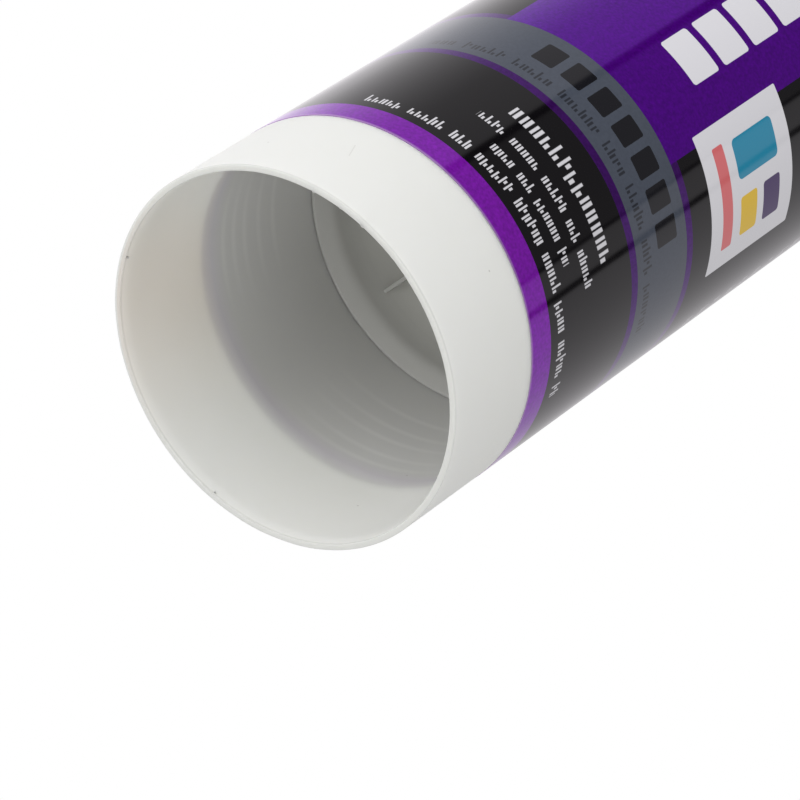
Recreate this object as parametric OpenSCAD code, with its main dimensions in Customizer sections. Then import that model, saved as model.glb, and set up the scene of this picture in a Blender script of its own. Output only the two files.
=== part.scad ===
// Construction adhesive cartridge of the 300 ml class, standing on its open rear rim.
// Every piece turns about the Z axis, and heights count from the rear rim upwards.
// Angles of the print count from the front of the label, which faces -Y, towards +X.

/* [Barrel] */
// Outside diameter of the tube
barrel_d = 50; // [44:0.5:60]
// Length of the tube from its rear rim to its front face
barrel_l = 215; // [190:1:300]
// Thickness of the tube wall
barrel_wall = 1; // [0.8:0.1:1.6]
// Thickness of the front wall
front_wall = 1.8; // [1.2:0.1:3]
// Radius of the rounded front edge
front_edge_r = 2.5; // [1:0.5:4]
// Height of the lead-in chamfer inside the mouth
lead_in_h = 1.5; // [0.5:0.5:4]
// Width of the lead-in chamfer inside the mouth
lead_in_w = 0.2; // [0.1:0.1:0.5]

/* [Neck] */
// Diameter of the boss that the nozzle seats on
boss_d = 24; // [23:0.5:32]
// Height of the boss above the front face
boss_h = 2; // [1:0.5:5]
// Diameter of the neck at the root of its thread
neck_d = 13; // [12:0.5:15]
// Diameter of the hole through the neck
neck_bore_d = 9.8; // [8:0.2:10.4]
// Length of the threaded neck above the boss
neck_l = 19; // [17:0.5:26]
// Length of the closed tip beyond the thread
tip_l = 5; // [3:0.5:8]
// Diameter of the closed tip's flat end
tip_d = 6.4; // [4:0.2:8]
// Thickness of the closed tip
tip_wall = 1.2; // [0.8:0.1:2]
// Height of the thread ridge above its root
thread_depth = 0.9; // [0.5:0.1:1.2]
// Rise of the thread in one turn
thread_pitch = 3; // [2.5:0.5:4]
// Number of turns of the thread
thread_turns = 4.5; // [2:0.5:4.5]

/* [Piston] */
// Depth of the piston's rear lip inside the mouth
piston_depth = 40; // [20:1:60]
// Length of the piston from its rear lip to its front lip
piston_l = 21; // [18:1:30]
// Depth of the cup in the piston's rear
cup_depth = 16.5; // [12:0.5:17]
// Thickness of the cup's wall
cup_wall = 1.3; // [1:0.1:2]
// Thickness of the cup's floor
cup_floor = 1.8; // [1.2:0.1:3]
// Inward taper of the cup's wall over its depth
cup_taper = 0.7; // [0:0.1:1.5]
// Height of each flared lip
lip_h = 1.9; // [1.5:0.1:3]
// Thickness of a lip at its edge
lip_t = 0.4; // [0.3:0.1:0.6]
// Height of the cylindrical land where a lip meets the tube
lip_land = 0.8; // [0.5:0.1:1.2]
// Gap between the cup's wall and the tube
skirt_gap = 0.7; // [0.4:0.1:1.5]
// Number of radial ribs in the cup
rib_count = 6; // [3:1:12]
// Thickness of a rib
rib_t = 1; // [0.8:0.1:2]
// Depth of the ribs' rear edge below the rear lip
rib_drop = 5.3; // [3:0.1:8]
// Diameter of the ring where the ribs meet
hub_d = 10; // [6:0.5:16]

/* [Nozzle] */
// Length of the nozzle from its seat to its tip
nozzle_l = 105; // [80:1:130]
// Diameter of the nozzle's collar
collar_d = 20.4; // [19.6:0.2:22.4]
// Height of the nozzle's collar
collar_h = 20; // [18:0.5:27]
// Outside diameter at the foot of the nozzle's cone
cone_foot_d = 17; // [16:0.2:18]
// Outside diameter at the nozzle's tip
nozzle_tip_d = 5; // [4:0.2:8]
// Thickness of the cone's wall at its foot
cone_wall = 1.3; // [1:0.1:1.6]
// Thickness of the cone's wall at its tip
tip_cone_wall = 1; // [0.8:0.1:1.2]
// Number of grip ribs round the collar
grip_count = 24; // [8:2:36]
// Height of a grip rib above the collar
grip_h = 0.7; // [0.3:0.1:0.8]
// Width of a grip rib
grip_w = 1.2; // [0.6:0.1:1.6]

/* [Label] */
// Height where the label starts
label_start = 16.6; // [8:0.1:30]
// Bare length between the label and the front face
label_front_gap = 10; // [6:0.5:20]
// Thickness of the label film with its glue
film_t = 0.2; // [0.1:0.01:0.3]
// Thickness of one layer of ink
ink_t = 0.02; // [0.01:0.01:0.04]
// Height of the purple ring at each end of the label
ring_h = 4.1; // [2:0.1:8]
// Height of the black band above the rear ring
black_band_h = 18.3; // [12:0.1:24]
// Height of the thin purple lines beside the grey band
line_h = 1.4; // [0.6:0.1:3]
// Height of the grey band
grey_band_h = 11.6; // [8:0.1:16]
// Height of the black band below the front ring
front_band_h = 9; // [4:0.5:14]

/* [Print] */
// Angle where the purple field starts
field_from = -53; // [-80:1:-50]
// Angle where the purple field ends
field_to = 15; // [4:1:30]
// Angle where the picture panels start
panel_from = 12; // [6:0.5:20]
// Angle where the picture panels end
panel_to = 56.5; // [50:0.5:70]
// Height of a picture panel
panel_h = 20; // [14:0.5:22]
// Gap between the grey band's line and the first panel
panel_gap = 4.6; // [2:0.1:8]
// Distance from one panel to the next
panel_pitch = 27; // [24:0.5:36]
// Number of picture panels
panel_count = 4; // [1:1:4]
// Width of the column of white blocks, as an angle
block_angle = 16; // [8:1:20]
// Length of a white block along the tube
block_h = 6; // [3:0.1:6.6]
// Distance from one white block to the next
block_pitch = 7.4; // [7:0.1:10]
// Number of white blocks
block_count = 8; // [1:1:10]
// Gap between the grey band's line and the first white block
block_gap = 10.2; // [4:0.1:16]
// Number of dark blocks in the grey band
dark_count = 7; // [3:1:9]
// Angle that each dark block covers
dark_angle = 7.4; // [4:0.1:9]
// Angle from one dark block to the next
dark_pitch = 10.4; // [10:0.1:14]

/* [Fits] */
// Running clearance between a piston lip and the tube
lip_gap = 0.05; // [0.02:0.01:0.1]
// Clearance between the thread's crest and the nozzle's socket
socket_gap = 0.3; // [0.2:0.05:0.5]
// Clearance round the paste
paste_gap = 0.3; // [0.2:0.05:0.5]

/* [Hidden] */
$fn = 128;
barrel_r = barrel_d / 2;
bore_r = barrel_r - barrel_wall;
front_inside_z = barrel_l - front_wall;
inner_corner_r = max(0.5, front_edge_r - barrel_wall);
boss_z = barrel_l + boss_h;
neck_r = neck_d / 2;
neck_bore_r = neck_bore_d / 2;
neck_top_z = boss_z + neck_l;
tip_z = neck_top_z + tip_l;
label_end = barrel_l - label_front_gap;
arc_steps = 8;
// The thread's ridge starts inside the neck wall and fades in and out over a quarter turn
thread_steps = 24;
thread_sunk = 0.4;
thread_root_w = 2;
thread_crest_w = 0.8;
thread_start_z = boss_z + 2.5;
thread_fade = 0.25;
// Heights of the piston's parts, from its rear lip to its front lip
lip_r = bore_r - lip_gap;
skirt_r = bore_r - skirt_gap;
cup_r = skirt_r - cup_wall;
floor_z = piston_depth + cup_depth;
floor_front_z = floor_z + cup_floor;
piston_front_z = piston_depth + piston_l;
cup_fillet = 1.5;
front_skirt_w = 0.3;
rib_bite = cup_wall / 3;
hub_wall = 1;
// The nozzle's socket and cone
socket_r = neck_r + thread_depth + socket_gap;
socket_top_z = neck_top_z + 0.5;
collar_top_z = boss_z + collar_h;
cone_foot_z = collar_top_z + 1;
nozzle_tip_z = boss_z + nozzle_l;
collar_chamfer = 0.8;
socket_lead_in = 0.5;
grip_end_gap = 2;
// Heights of the label's bands
black_z = label_start + ring_h;
low_line_z = black_z + black_band_h;
grey_z = low_line_z + line_h;
high_line_z = grey_z + grey_band_h;
main_z = high_line_z + line_h;
front_ring_z = label_end - ring_h;
front_black_z = front_ring_z - front_band_h;
front_line_z = front_black_z - line_h;
// Layers of ink start inside the film, and each lies over the one before
ink_root_r = barrel_r - film_t / 2;
// The white rows in the black band: share of the band's height, row height in mm, first and last angle, words
white_rows = [
    [0.07, 2.2, -57, 60, 9],
    [0.25, 2.0, -18, 22, 4],
    [0.43, 2.0, -28, 32, 5],
    [0.64, 3.3, -23, 28, 3]
];
// The small dark row in the grey band, in the same form
dark_row = [0.1, 2, -65, 60, 10];
word_share = 0.86;
dark_block_share = [0.42, 0.81];
// The motif on a panel: colour, first and last share of the panel's height, first and last share of its width
motif = [
    ["lightcoral", 0.14, 0.26, 0.14, 0.86],
    ["teal", 0.36, 0.84, 0.16, 0.44],
    ["gold", 0.36, 0.56, 0.56, 0.84],
    ["indigo", 0.64, 0.84, 0.56, 0.84]
];

// Points of a quarter circle about (cx, cy), from angle a0 to angle a1
function arc(cx, cy, r, a0, a1) = [
    for (i = [0 : arc_steps]) let (a = a0 + (a1 - a0) * i / arc_steps) [cx + r * cos(a), cy + r * sin(a)]
];

// One moulded tube: mouth, wall, front wall, boss, neck and closed tip in one section
module barrel_section() {
    polygon(concat(
        [[barrel_r, 0], [barrel_r, label_start], [barrel_r - film_t, label_start]],
        [[barrel_r - film_t, label_end], [barrel_r, label_end]],
        arc(barrel_r - front_edge_r, barrel_l - front_edge_r, front_edge_r, 0, 90),
        [[boss_d / 2, barrel_l], [boss_d / 2, boss_z], [neck_r, boss_z]],
        [[neck_r, neck_top_z], [tip_d / 2, tip_z], [0, tip_z]],
        [[0, tip_z - tip_wall], [tip_d / 2 - tip_wall, tip_z - tip_wall], [neck_bore_r, neck_top_z - tip_wall]],
        [[neck_bore_r, front_inside_z]],
        arc(bore_r - inner_corner_r, front_inside_z - inner_corner_r, inner_corner_r, 90, 0),
        [[bore_r, lead_in_h], [bore_r + lead_in_w, 0]]
    ));
}

// Share of the thread's full height at a turn, from 0 to 1
function thread_rise(turn) = min(1, turn / thread_fade, (thread_turns - turn) / thread_fade);

// The four corners of the ridge's section at one step of the helix
function thread_ring(i) =
    let (turn = i / thread_steps, a = 360 * turn, z = thread_start_z + turn * thread_pitch,
         crest = neck_r + thread_depth * max(0.05, thread_rise(turn)), root = neck_r - thread_sunk)
    [
        for (p = [[root, -thread_root_w / 2], [crest, -thread_crest_w / 2],
                  [crest, thread_crest_w / 2], [root, thread_root_w / 2]])
        [p[0] * cos(a), p[0] * sin(a), z + p[1]]
    ];

module thread() {
    rings = floor(thread_turns * thread_steps);
    points = [for (i = [0 : rings]) each thread_ring(i)];
    sides = [
        for (i = [0 : rings - 1]) for (k = [0 : 3])
        let (a = 4 * i + k, b = 4 * i + (k + 1) % 4)
        each [[a, b, a + 4], [b, b + 4, a + 4]]
    ];
    last = 4 * rings;
    ends = [[0, 3, 2, 1], [last, last + 1, last + 2, last + 3]];
    polyhedron(points, concat(sides, ends));
}

module barrel() {
    color("whitesmoke") {
        rotate_extrude() barrel_section();
        thread();
    }
}

// A full ring of ink from one height to another, in the given layer
module ink_ring(z0, z1, layer) {
    translate([0, 0, z0])
    difference() {
        cylinder(h = z1 - z0, r = barrel_r + layer * ink_t);
        translate([0, 0, -1])
        cylinder(h = z1 - z0 + 2, r = ink_root_r);
    }
}

// A patch of ink between two heights and two angles, in the given layer
module ink_patch(z0, z1, a0, a1, layer) {
    rotate([0, 0, a0 - 90])
    rotate_extrude(angle = a1 - a0)
    translate([ink_root_r, z0])
    square([barrel_r + layer * ink_t - ink_root_r, z1 - z0]);
}

// A row of words of equal length, each a plain block, from height z
module ink_row(z, row, layer) {
    pitch = (row[3] - row[2]) / (row[4] - 1 + word_share);
    for (i = [0 : row[4] - 1])
        ink_patch(z, z + row[1], row[2] + i * pitch, row[2] + (i + word_share) * pitch, layer);
}

// The film itself, black where no other ink lies on it
module label_film() {
    translate([0, 0, label_start])
    difference() {
        cylinder(h = label_end - label_start, r = barrel_r);
        translate([0, 0, -1])
        cylinder(h = label_end - label_start + 2, r = barrel_r - film_t);
    }
}

module purple_print() {
    ink_ring(label_start, black_z, 1);
    ink_ring(low_line_z, grey_z, 1);
    ink_ring(high_line_z, main_z, 1);
    ink_patch(main_z, front_line_z, field_from, field_to, 1);
    ink_ring(front_line_z, front_black_z, 1);
    ink_ring(front_ring_z, label_end, 1);
}

module white_print() {
    for (row = white_rows)
        ink_row(black_z + row[0] * black_band_h, row, 1);
    for (i = [0 : block_count - 1])
        let (z = main_z + block_gap + i * block_pitch)
        ink_patch(z, z + block_h, -block_angle, 0, 2);
}

module dark_print() {
    ink_row(grey_z + dark_row[0] * grey_band_h, dark_row, 2);
    for (i = [0 : dark_count - 1])
        let (a = (i - (dark_count - 1) / 2) * dark_pitch)
        ink_patch(grey_z + dark_block_share[0] * grey_band_h, grey_z + dark_block_share[1] * grey_band_h,
                  a - dark_angle / 2, a + dark_angle / 2, 2);
}

// A white panel with a plain motif of a bar, a tall block and two small squares
module panel(z) {
    w = panel_to - panel_from;
    color("white")
    ink_patch(z, z + panel_h, panel_from, panel_to, 2);
    for (m = motif)
        color(m[0])
        ink_patch(z + m[1] * panel_h, z + m[2] * panel_h, panel_from + m[3] * w, panel_from + m[4] * w, 3);
}

module label() {
    color("#2b292b") label_film();
    color("#6a1fa6") purple_print();
    color("#5c6370") ink_ring(grey_z, high_line_z, 1);
    color("white") white_print();
    color("#1c1b1d") dark_print();
    for (i = [0 : panel_count - 1])
        panel(main_z + panel_gap + i * panel_pitch);
}

// The plunger's section: rear lip, cup, floor, front lip and skirt
module piston_section() {
    polygon(concat(
        [[lip_r, piston_depth], [lip_r - lip_t, piston_depth], [cup_r, piston_depth + lip_h]],
        arc(cup_r - cup_taper - cup_fillet, floor_z - cup_fillet, cup_fillet, 0, 90),
        [[0, floor_z], [0, floor_front_z], [cup_r - cup_taper + front_skirt_w, floor_front_z]],
        [[lip_r - lip_t, piston_front_z], [lip_r, piston_front_z], [lip_r, piston_front_z - lip_land]],
        [[skirt_r, piston_front_z - lip_land - lip_h], [skirt_r, piston_depth + lip_land + lip_h]],
        [[lip_r, piston_depth + lip_land]]
    ));
}

module cup_rib() {
    translate([hub_d / 2 - hub_wall / 2, -rib_t / 2, piston_depth + rib_drop])
    cube([cup_r + rib_bite - hub_d / 2 + hub_wall / 2, rib_t, cup_depth - rib_drop + cup_floor / 2]);
}

module piston() {
    color("gainsboro") {
        rotate_extrude() piston_section();
        translate([0, 0, piston_depth + rib_drop])
        difference() {
            cylinder(h = cup_depth - rib_drop + cup_floor / 2, d = hub_d);
            translate([0, 0, -1])
            cylinder(h = cup_depth - rib_drop + cup_floor / 2 + 2, d = hub_d - 2 * hub_wall);
        }
        for (i = [0 : rib_count - 1])
            rotate([0, 0, 90 + i * 360 / rib_count]) cup_rib();
    }
}

// The paste follows the piston's front, the bore, the front wall and the neck
module adhesive() {
    paste_r = bore_r - paste_gap;
    color("burlywood")
    rotate_extrude()
    polygon(concat(
        [[0, floor_front_z + paste_gap], [cup_r - cup_taper, floor_front_z + paste_gap]],
        [[lip_r - lip_t - paste_gap, piston_front_z + paste_gap], [paste_r, piston_front_z + paste_gap]],
        [[paste_r, front_inside_z - inner_corner_r - paste_gap]],
        [[paste_r - inner_corner_r, front_inside_z], [neck_bore_r - paste_gap, front_inside_z]],
        [[neck_bore_r - paste_gap, neck_top_z - tip_wall - paste_gap], [0, neck_top_z - tip_wall - paste_gap]]
    ));
}

module nozzle_section() {
    polygon([
        [socket_r + socket_lead_in, boss_z],
        [collar_d / 2, boss_z],
        [collar_d / 2, collar_top_z - collar_chamfer],
        [collar_d / 2 - collar_chamfer, collar_top_z],
        [cone_foot_d / 2, cone_foot_z],
        [nozzle_tip_d / 2, nozzle_tip_z],
        [nozzle_tip_d / 2 - tip_cone_wall, nozzle_tip_z],
        [cone_foot_d / 2 - cone_wall, cone_foot_z],
        [socket_r, socket_top_z],
        [socket_r, boss_z + socket_lead_in]
    ]);
}

module nozzle() {
    color("ivory") {
        rotate_extrude() nozzle_section();
        for (i = [0 : grip_count - 1])
            rotate([0, 0, i * 360 / grip_count])
            translate([collar_d / 2 - grip_h, -grip_w / 2, boss_z + grip_end_gap])
            cube([2 * grip_h, grip_w, collar_h - 2 * grip_end_gap]);
    }
}

barrel();
label();
piston();
adhesive();
nozzle();
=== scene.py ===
import math

import bpy
import numpy as np
from bpy.props import FloatProperty, FloatVectorProperty, IntProperty, PointerProperty
from mathutils import Matrix, Vector


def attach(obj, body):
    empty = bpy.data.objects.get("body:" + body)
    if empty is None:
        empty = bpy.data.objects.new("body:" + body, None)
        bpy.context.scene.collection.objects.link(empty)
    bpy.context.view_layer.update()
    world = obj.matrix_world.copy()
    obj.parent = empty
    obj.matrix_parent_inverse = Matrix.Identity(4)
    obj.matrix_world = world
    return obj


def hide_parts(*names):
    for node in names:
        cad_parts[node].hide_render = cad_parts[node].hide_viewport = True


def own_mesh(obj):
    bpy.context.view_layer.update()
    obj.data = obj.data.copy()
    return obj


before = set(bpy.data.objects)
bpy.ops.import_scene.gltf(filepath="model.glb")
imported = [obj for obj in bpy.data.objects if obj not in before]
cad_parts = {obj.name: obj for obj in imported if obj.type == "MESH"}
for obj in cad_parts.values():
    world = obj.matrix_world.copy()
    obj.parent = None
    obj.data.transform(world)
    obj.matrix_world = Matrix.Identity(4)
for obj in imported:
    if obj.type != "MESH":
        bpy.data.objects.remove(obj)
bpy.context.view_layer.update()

bl_info = {
    "name": "Adhesive cartridge",
    "version": (1, 0, 0),
    "blender": (4, 5, 0),
    "location": "View3D > Sidebar > Cartridge",
    "description": "Builds a printed adhesive cartridge with its piston, paste, nozzle and studio",
    "category": "Object",
}

MM = 0.001
SHARP_EDGE = math.radians(35)
LAMP_AIM = Vector((0, 0, 0.08))
LAMP_DISTANCE = 1.3
CAMERA_PLACE = Vector((0, -0.397677, -0.406646))
# The camera's own axes: to its right, up and forwards
CAMERA_AXES = ((0.55225, -0.61324, 0.56476), (-0.83342, -0.38924, 0.39230), (0.020747, 0.687328, 0.726051))
# Small burrs on the rim: degrees from the front and share of the burr size
BURRS = ((-36.5, 1.0), (-27.2, 0.8), (-18.9, 1.15), (64.0, 0.6), (-121.0, 0.7), (158.0, 0.6))
# Dark specks on the tube: degrees from the front and height in mm
SPECKS = ((11, 12.5), (121, 20.0), (123, 10.5), (-64, 7.5))
# Heights in mm of the print's rows that show through the wall as painted light, on its right and on its left
ROWS_RIGHT = (20.7, 23.1, 26.6, 29.3, 32.8)
ROWS_LEFT = (21.0, 23.2, 25.5, 28.5, 31.6)
# White rows in the black band: share of the band's height, row height and cell in mm, seed,
# 1 where the row has words, and the angles that it spans at the front and at the back
WHITE_ROWS = (
    (0.07, 2.2, 1.04, 3, 1, ((-57, 60), (112, 170), (-165, -110))),
    (0.25, 2.0, 0.95, 11, 1, ((-18, 22), (115, 165), (-160, -118))),
    (0.43, 2.0, 1.00, 23, 1, ((-28, 32), (118, 160), (-160, -120))),
    (0.64, 3.3, 1.75, 31, 0, ((-23, 28),)),
)
# Columns of small rows on the back: first and last degree, and how many rows
BACK_COLUMNS = ((76, 128, 22), (-176, -76, 30), (140, 176, 22))
# A panel and its motif: colour, lower and upper end, left and right side as shares of the
# panel, and corner in mm
PANEL = (
    ("white", 0.0, 1.0, 0.0, 1.0, 0.25),
    ("coral", 0.14, 0.26, 0.14, 0.86, 0.3),
    ("teal", 0.36, 0.84, 0.16, 0.44, 0.8),
    ("gold", 0.36, 0.56, 0.56, 0.84, 0.5),
    ("indigo", 0.64, 0.84, 0.56, 0.84, 0.5),
)


# Properties

def length(name, text, value):
    """A length in metres."""
    return FloatProperty(name=name, description=text, default=value, min=0, precision=5, unit="LENGTH")


def angle(name, text, degrees):
    """An angle, given here in degrees."""
    return FloatProperty(name=name, description=text, default=math.radians(degrees), subtype="ANGLE")


def share(name, text, value):
    """A plain number from 0 to 1."""
    return FloatProperty(name=name, description=text, default=value, min=0, max=1, subtype="FACTOR")


def power(name, text, value):
    """A lamp's power in watts."""
    return FloatProperty(name=name, description=text, default=value, min=0, unit="POWER")


def count(name, text, value):
    """A whole number."""
    return IntProperty(name=name, description=text, default=value, min=1)


def colour(name, text, value):
    """A linear RGB colour."""
    return FloatVectorProperty(name=name, description=text, default=value, size=3, min=0, max=1,
                               subtype="COLOR")


class TubeSizes(bpy.types.PropertyGroup):
    """Sizes of the moulded tube."""
    radius: length("Radius", "Outside radius of the tube", 0.025)
    body: length("Body length", "From the rear rim to the front face", 0.215)
    wall: length("Wall", "Thickness of the tube's wall", 0.001)
    front_wall: length("Front wall", "Thickness of the front wall", 0.0018)
    edge: length("Front edge", "Radius of the rounded front edge", 0.0025)
    lead_in: length("Lead-in", "Height of the chamfer inside the mouth", 0.0015)
    boss_radius: length("Boss radius", "Radius of the boss under the nozzle", 0.012)
    boss: length("Boss height", "Height of the boss", 0.002)
    neck_radius: length("Neck radius", "Radius at the root of the thread", 0.0065)
    neck_bore: length("Neck bore", "Radius of the hole through the neck", 0.0049)
    neck: length("Neck length", "Length of the threaded neck", 0.019)
    tip: length("Closed tip", "Length of the closed tip beyond the thread", 0.005)
    tip_radius: length("Tip radius", "Radius of the closed tip's flat end", 0.0032)
    tip_wall: length("Tip wall", "Thickness of the closed tip", 0.0012)
    thread_depth: length("Thread depth", "Height of the thread above its root", 0.0009)
    thread_pitch: length("Thread pitch", "Rise of the thread in one turn", 0.003)
    thread_turns: FloatProperty(name="Thread turns", description="Turns of the thread", default=4.5, min=1)
    rim_wobble: length("Rim unevenness", "How far the cut rim strays from a plane", 0.00007)
    burr: length("Burr size", "Length of the small burrs on the rim's inner edge", 0.0004)


class LabelSizes(bpy.types.PropertyGroup):
    """Sizes of the label and the layout of its print."""
    start: length("Start", "Height where the label starts", 0.0166)
    end: length("End", "Height where the label ends", 0.205)
    film: length("Film", "Thickness of the film with its glue", 0.0002)
    slant: length("Slant", "How far the rear edge strays from square", 0.00022)
    ring: length("Rings", "Height of the coloured rings at both ends", 0.0041)
    black_band: length("Black band", "Height of the black band above the rear ring", 0.0183)
    line: length("Lines", "Height of the thin lines beside the grey band", 0.0014)
    grey_band: length("Grey band", "Height of the grey band", 0.0116)
    front_band: length("Front band", "Height of the black band below the front ring", 0.009)
    field_from: angle("Field from", "Angle where the coloured field starts", -53)
    field_to: angle("Field to", "Angle where the coloured field ends", 15)
    panel_from: angle("Panels from", "Angle where the panels start", 12)
    panel_to: angle("Panels to", "Angle where the panels end", 56.5)
    panel: length("Panel height", "Height of a panel", 0.020)
    panel_gap: length("Panel gap", "From the upper thin line to the first panel", 0.0046)
    panel_pitch: length("Panel pitch", "From one panel to the next", 0.027)
    panels: count("Panels", "Number of panels", 4)
    block_angle: angle("Block width", "Width of the column of white blocks", 16)
    block: length("Block height", "Height of a white block", 0.006)
    block_pitch: length("Block pitch", "From one white block to the next", 0.0074)
    block_gap: length("Block gap", "From the upper thin line to the first block", 0.0102)
    blocks: count("Blocks", "Number of white blocks", 8)
    dark_angle: angle("Dark block width", "Width of a dark block in the grey band", 7.4)
    dark_pitch: angle("Dark block pitch", "From one dark block to the next", 10.4)
    darks: count("Dark blocks", "Number of dark blocks in the grey band", 7)


class PistonSizes(bpy.types.PropertyGroup):
    """Sizes of the piston."""
    depth: length("Depth", "Depth of the rear lip inside the mouth", 0.040)
    body: length("Length", "From the rear lip to the front lip", 0.021)
    cup: length("Cup depth", "Depth of the cup in the rear", 0.0165)
    wall: length("Cup wall", "Thickness of the cup's wall", 0.0013)
    floor: length("Cup floor", "Thickness of the cup's floor", 0.0018)
    taper: length("Taper", "Inward taper of the cup's wall", 0.0007)
    lip: length("Lip height", "Height of each flared lip", 0.0019)
    lip_edge: length("Lip edge", "Thickness of a lip at its edge", 0.0004)
    land: length("Lip land", "Height of the land that meets the tube", 0.0008)
    gap: length("Lip gap", "Gap between a lip and the tube", 0.00005)
    skirt_gap: length("Skirt gap", "Gap between the cup's wall and the tube", 0.0007)
    ribs: count("Ribs", "Number of ribs in the cup", 6)
    rib: length("Rib thickness", "Thickness of a rib", 0.001)
    rib_drop: length("Rib drop", "Depth of the ribs below the rear lip", 0.0053)
    hub: length("Hub radius", "Outside radius of the ring where the ribs meet", 0.005)


class NozzleSizes(bpy.types.PropertyGroup):
    """Sizes of the nozzle."""
    length: length("Length", "From its seat to its tip", 0.105)
    collar_radius: length("Collar radius", "Radius of the collar", 0.0102)
    collar: length("Collar height", "Height of the collar", 0.020)
    chamfer: length("Collar chamfer", "Chamfer at the collar's top", 0.0008)
    foot: length("Cone foot", "Radius at the foot of the cone", 0.0085)
    tip: length("Tip radius", "Radius at the nozzle's tip", 0.0025)
    wall: length("Cone wall", "Thickness of the cone at its foot", 0.0013)
    tip_wall: length("Tip wall", "Thickness of the cone at its tip", 0.001)
    socket_gap: length("Socket gap", "Clearance between the thread and the socket", 0.0003)
    grips: count("Grips", "Number of grip ribs", 24)
    grip: length("Grip height", "Height of a grip rib", 0.0007)
    grip_width: length("Grip width", "Width of a grip rib", 0.0012)
    grip_end: length("Grip end gap", "Bare length at each end of the grips", 0.002)


class Colours(bpy.types.PropertyGroup):
    """Colours of the finishes, as linear RGB."""
    tube: colour("Tube", "Bare plastic of the tube", (0.870, 0.877, 0.838))
    # Painted light and shade on the inner wall: warm light in the mouth, shade behind the label where it
    # keeps light from shining through the wall, and lavender light through the ring
    warm_painted_light: colour("Warm inner wall", "Warm side of the bare inner wall", (0.850, 0.795, 0.735))
    behind: colour("Behind the label", "Inner wall where the label shows through", (0.70, 0.70, 0.68))
    ring_painted_light: colour("Behind the ring", "Inner wall behind the coloured ring", (0.72, 0.68, 0.74))
    ring: colour("Ring", "Ink of the rings", (0.225, 0.009, 0.44))
    line: colour("Line", "Ink of the thin lines", (0.070, 0.007, 0.17))
    field: colour("Field", "Ink of the coloured field", (0.121, 0.001, 0.37))
    black: colour("Black", "Black ink", (0.0030, 0.0024, 0.0034))
    grey: colour("Grey", "Grey ink", (0.066, 0.077, 0.103))
    dark: colour("Dark", "Dark ink on the grey band", (0.008, 0.008, 0.011))
    white: colour("White", "White ink", (0.76, 0.75, 0.79))
    coral: colour("Coral", "Bar of the panel's motif", (0.72, 0.16, 0.17))
    teal: colour("Teal", "Tall block of the panel's motif", (0.02, 0.26, 0.42))
    gold: colour("Gold", "Square of the panel's motif", (0.80, 0.52, 0.02))
    indigo: colour("Indigo", "Second square of the panel's motif", (0.055, 0.025, 0.12))
    piston: colour("Piston", "Plastic of the piston", (0.555, 0.555, 0.535))
    paste: colour("Paste", "Adhesive paste", (0.62, 0.53, 0.38))
    nozzle: colour("Nozzle", "Plastic of the nozzle", (0.80, 0.80, 0.77))


class StageSettings(bpy.types.PropertyGroup):
    """Floor, lamps and camera."""
    floor_radius: length("Floor radius", "Radius of the floor", 1.1)
    ambient: share("Ambient", "Strength of the world on the object", 0.546)
    low_left: power("Low left", "Power of the lamp below on the left", 6.44)
    low_front: power("Low front", "Power of the lamp below in front", 1.40)
    low_right: power("Low right", "Power of the lamp below on the right", 1.81)
    front: power("Front", "Power of the lamp in front", 2.82)
    top: power("Top", "Power of the lamp above", 7.19)
    lens: FloatProperty(name="Lens", description="Focal length in mm on a 36 mm sensor", default=214.156)


# Surfaces

def rounded(corners, steps=4):
    """Section through corners (r, z, reach): each corner with a reach becomes a curve.

    The curve is P(t) = (1-t)^2 A + 2t(1-t) C + t^2 B, where A and B lie one reach from corner C
    along its two sides. A point two reaches away holds the flat side flat in smooth shading.
    """
    corners = np.asarray(corners, float)
    points, t = [], np.linspace(0, 1, steps + 1)[:, None]
    for i, (r, z, reach) in enumerate(corners):
        here = np.array([r, z])
        if reach == 0 or i in (0, len(corners) - 1):
            points.append(here[None])
            continue
        sides = []
        for other in (corners[i - 1, :2], corners[i + 1, :2]):
            way = other - here
            sides.append((way / np.linalg.norm(way), np.linalg.norm(way)))
        a, b = (here + way * reach for way, _ in sides)
        curve = (1 - t) ** 2 * a + 2 * t * (1 - t) * here + t ** 2 * b
        hold = [[here + way * 2 * reach] if size > 4 * reach else np.zeros((0, 2)) for way, size in sides]
        points += [hold[0], curve, hold[1]]
    return np.concatenate([np.atleast_2d(p) for p in points if len(p)])


def closer(section, low, high, step):
    """The section with rows at most one step apart where z lies from low to high."""
    parts, slack = [], 1e-9
    for a, b in zip(section[:-1], section[1:]):
        inside = min(a[1], b[1]) >= low - slack and max(a[1], b[1]) <= high + slack
        steps = max(1, math.ceil(abs(b[1] - a[1]) / step)) if inside else 1
        parts.append(a + (b - a) * np.arange(steps)[:, None] / steps)
    return np.concatenate(parts + [section[-1:]])


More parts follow.
